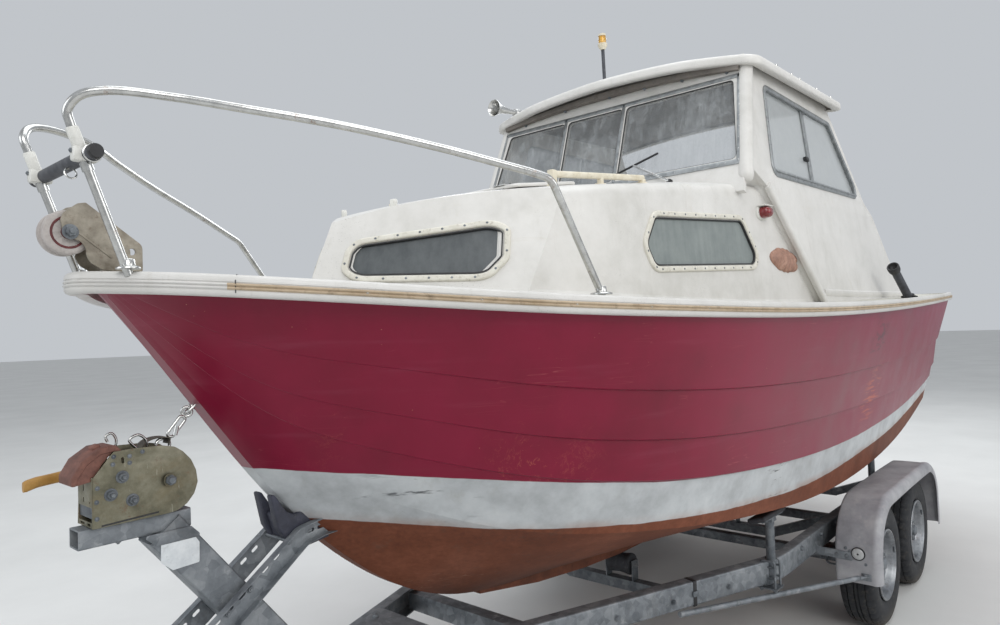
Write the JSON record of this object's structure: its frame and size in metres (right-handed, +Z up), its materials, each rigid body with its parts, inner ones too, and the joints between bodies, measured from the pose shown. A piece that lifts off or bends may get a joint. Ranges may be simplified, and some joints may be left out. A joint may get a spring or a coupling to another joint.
{
  "type": "pilothouse motorboat on a road trailer",
  "caption": "Clinker-style cabin motorboat with a wheelhouse, pulpit and inboard drive, resting on a tandem-axle road trailer with winch post and jockey wheel.",
  "frame": {"origin": "middle of the whole object's bounding box, on the ground", "axes": "+X towards the bow and the coupling head, +Y to port, +Z up"},
  "size_m": [6.58, 2.2436, 3.07],
  "materials": {
    "antifoul": "matt",
    "black_rubber": "matt",
    "bronze": "dull",
    "cream_plastic": "yellowed",
    "dark_plastic": "satin",
    "deck_gelcoat": "weathered",
    "engine_iron": "painted",
    "galvanised": "dull zinc",
    "grey_rubber": "matt",
    "grey_tube": "matt",
    "hull_paint": "faded red gloss",
    "lamp_white": "gloss",
    "pane": "hazed",
    "reflector_white": "prismatic",
    "rim_silver": "silver",
    "seat_vinyl": "satin",
    "stainless": "polished",
    "terracotta": "glazed",
    "tyre_rubber": "matt",
    "white_gelcoat": "weathered",
    "wood": "varnished",
    "zinc_yellow": "passivated"
  },
  "bodies": {
    "boat_on_trailer": {"hull_shell": "hull_paint", "gunwale_band": "white_gelcoat", "deck": "deck_gelcoat", "keel_skeg": "antifoul", "coachroof": "white_gelcoat", "cuddy_window_frames": "cream_plastic", "wheelhouse_shell": "white_gelcoat", "wheelhouse_roof": "white_gelcoat", "window_panes": "pane", "interior_moulding": "deck_gelcoat", "companion_bulkhead": "wood", "engine_box": "white_gelcoat", "engine_block": "engine_iron", "helm_console": "white_gelcoat", "helm_seat": "white_gelcoat", "seat_cushions": "seat_vinyl", "pulpit_rails": "stainless", "pulpit_crossbar": "grey_tube", "bow_roller_bracket": "stainless", "horn": "stainless", "mast_light": "lamp_white", "nav_lights": "lamp_white", "wall_ornament": "terracotta", "handrails": "cream_plastic", "deck_fittings": "grey_tube", "bow_eye_hook": "galvanised", "trailer_frame": "galvanised", "trailer_crossmembers": "galvanised", "keel_rollers": "black_rubber", "drawbar": "galvanised", "winch_post": "galvanised", "bow_snubber": "black_rubber", "winch_frame": "zinc_yellow", "blank_plate": "lamp_white", "side_supports": "galvanised", "axles_springs": "galvanised", "mudguards": "dark_plastic", "reflectors": "reflector_white", "jockey_clamp": "galvanised"},
    "wheel_front_port": {"tyre_front_port": "tyre_rubber", "rim_front_port": "rim_silver"},
    "wheel_front_starboard": {"tyre_front_starboard": "tyre_rubber", "rim_front_starboard": "rim_silver"},
    "wheel_rear_port": {"tyre_rear_port": "tyre_rubber", "rim_rear_port": "rim_silver"},
    "wheel_rear_starboard": {"tyre_rear_starboard": "tyre_rubber", "rim_rear_starboard": "rim_silver"},
    "bow_roller_body": {"bow_roller": "grey_rubber"},
    "propeller_body": {"propeller": "bronze"},
    "rudder_body": {"rudder": "antifoul"},
    "helm_wheel_body": {"helm_wheel": "dark_plastic"},
    "companion_door_body": {"companion_door": "wood"},
    "coachroof_hatch_body": {"coachroof_hatch": "white_gelcoat"},
    "engine_box_lid_body": {"engine_box_lid": "white_gelcoat"},
    "winch_drum_body": {"winch_drum": "zinc_yellow"},
    "winch_crank_body": {"winch_crank": "zinc_yellow"},
    "jockey_stem_body": {"jockey_stem": "galvanised"},
    "jockey_fork_body": {"jockey_fork": "galvanised"},
    "jockey_wheel_body": {"jockey_wheel": "black_rubber"}
  },
  "joints": [
    {"name": "wheel_front_port_spin", "type": "hinge", "parent": "boat_on_trailer", "child": "wheel_front_port", "pos_m": [-0.83, 0.9175, 0.297], "axis": [0, 1, 0], "continuous": true},
    {"name": "wheel_front_starboard_spin", "type": "hinge", "parent": "boat_on_trailer", "child": "wheel_front_starboard", "pos_m": [-0.83, -0.9175, 0.297], "axis": [0, 1, 0], "continuous": true},
    {"name": "wheel_rear_port_spin", "type": "hinge", "parent": "boat_on_trailer", "child": "wheel_rear_port", "pos_m": [-1.542, 0.9175, 0.297], "axis": [0, 1, 0], "continuous": true},
    {"name": "wheel_rear_starboard_spin", "type": "hinge", "parent": "boat_on_trailer", "child": "wheel_rear_starboard", "pos_m": [-1.542, -0.9175, 0.297], "axis": [0, 1, 0], "continuous": true},
    {"name": "bow_roller_spin", "type": "hinge", "parent": "boat_on_trailer", "child": "bow_roller_body", "pos_m": [2.523, 0, 1.81], "axis": [0, 1, 0], "continuous": true},
    {"name": "propeller_spin", "type": "hinge", "parent": "boat_on_trailer", "child": "propeller_body", "pos_m": [-2.765, 0, 0.553], "axis": [0.9903, 0, 0.1392], "continuous": true},
    {"name": "helm_wheel_turn", "type": "hinge", "parent": "boat_on_trailer", "child": "helm_wheel_body", "pos_m": [-0.36, -0.4, 1.62], "axis": [-0.866, 0, 0.5], "range_deg": [-420, 420]},
    {"name": "rudder_turn", "type": "hinge", "parent": "boat_on_trailer", "child": "rudder_body", "pos_m": [-2.995, 0, 0.6], "axis": [0, 0, 1], "range_deg": [-35, 35]},
    {"name": "companion_door_swing", "type": "hinge", "parent": "boat_on_trailer", "child": "companion_door_body", "pos_m": [-0.079, 0.275, 1.45], "axis": [0, 0, -1], "range_deg": [0, 100]},
    {"name": "coachroof_hatch_swing", "type": "hinge", "parent": "boat_on_trailer", "child": "coachroof_hatch_body", "pos_m": [1.06704, 0, 2.0787], "axis": [0, 1, 0], "range_deg": [0, 80]},
    {"name": "engine_box_lid_swing", "type": "hinge", "parent": "boat_on_trailer", "child": "engine_box_lid_body", "pos_m": [-1.375, 0, 1.303], "axis": [0, 1, 0], "range_deg": [0, 80]},
    {"name": "winch_drum_spin", "type": "hinge", "parent": "boat_on_trailer", "child": "winch_drum_body", "pos_m": [2.308, 0, 1.185], "axis": [0, 1, 0], "continuous": true},
    {"name": "winch_crank_spin", "type": "hinge", "parent": "boat_on_trailer", "child": "winch_crank_body", "pos_m": [2.421, 0, 1.212], "axis": [0, 1, 0], "continuous": true},
    {"name": "jockey_stem_slide", "type": "slide", "parent": "boat_on_trailer", "child": "jockey_stem_body", "axis": [0, 0, 1], "range_m": [-0.1, 0.18]},
    {"name": "jockey_fork_swivel", "type": "hinge", "parent": "jockey_stem_body", "child": "jockey_fork_body", "pos_m": [2.69, -0.125, 0.25], "axis": [0, 0, 1], "continuous": true},
    {"name": "jockey_wheel_spin", "type": "hinge", "parent": "jockey_fork_body", "child": "jockey_wheel_body", "pos_m": [2.642, -0.125, 0.1], "axis": [0, 1, 0], "continuous": true}
  ],
  "couplings": [
    {"joint": "rudder_turn", "follows": "helm_wheel_turn", "ratio": 0.083333},
    {"joint": "winch_crank_spin", "follows": "winch_drum_spin", "ratio": -4}
  ]
}
